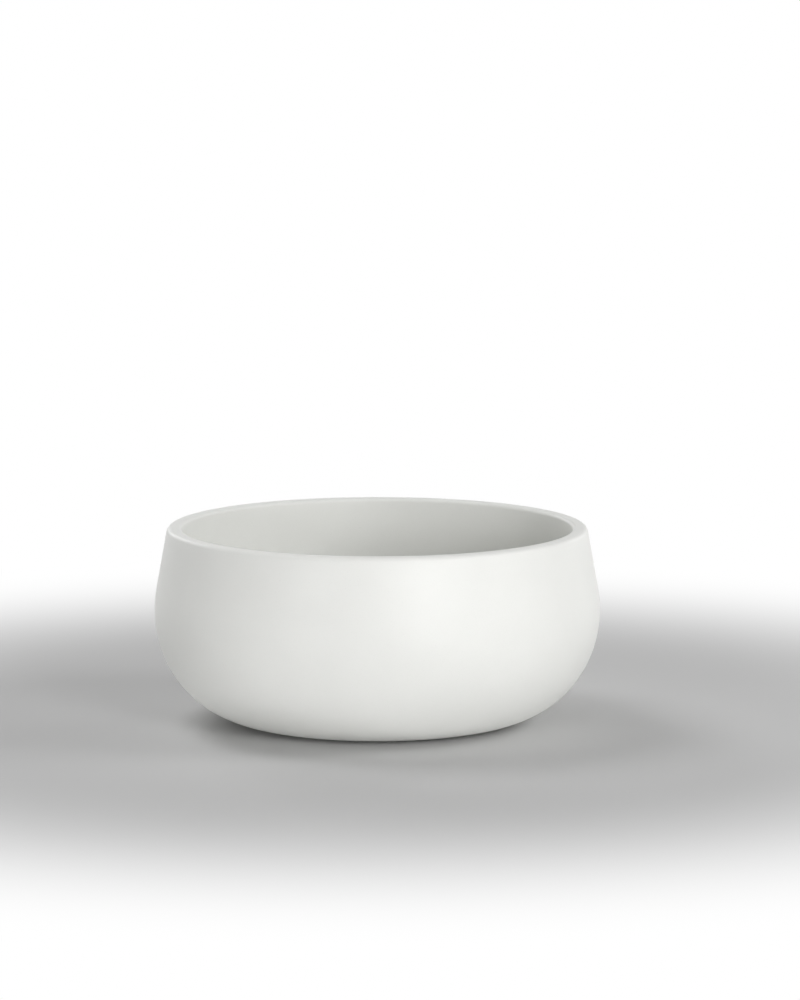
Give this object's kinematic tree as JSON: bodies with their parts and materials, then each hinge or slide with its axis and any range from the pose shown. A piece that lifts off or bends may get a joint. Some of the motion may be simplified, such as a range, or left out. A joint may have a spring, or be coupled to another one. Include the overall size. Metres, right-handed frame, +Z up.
{
  "type": "countertop basin",
  "caption": "Round matt countertop basin with a wide belly, straight leaning upper wall and thick soft rim, with a press-to-close waste whose capped plug rises and drops.",
  "frame": {"origin": "centre of the foot on the worktop it stands on", "axes": "+Z up along the bowl's axis, front towards -Y, right towards +X"},
  "size_m": [0.4, 0.3998, 0.222],
  "materials": {
    "stone": "matt cast stone resin",
    "chrome": "polished chrome plate",
    "brass": "turned brass",
    "rubber": "black rubber",
    "nylon": "natural nylon",
    "acetal": "dark acetal",
    "steel": "stainless steel"
  },
  "bodies": {
    "basin": {"bowl": "stone", "foot_seal_ring": "rubber", "waste_body": "chrome", "flange_gasket": "rubber", "bowl_gasket": "rubber", "slip_washer": "nylon", "back_nut": "brass", "return_spring": "steel", "cartridge_barrel": "brass", "guide_sleeve": "nylon", "cartridge_base": "brass", "cartridge_nut": "brass", "rod_wiper": "rubber"},
    "plug": {"plug_cap": "stone", "cap_insert": "brass", "plug_seal": "rubber", "jam_nut": "steel", "push_rod": "steel", "index_rotor": "acetal"}
  },
  "joints": [
    {"name": "plug_press", "type": "slide", "parent": "basin", "child": "plug", "axis": [0, 0, 1], "range_m": [-0.011, 0], "stiffness_N_per_m": 1500, "springref_m": 0.008, "deforming": ["return_spring"]}
  ]
}
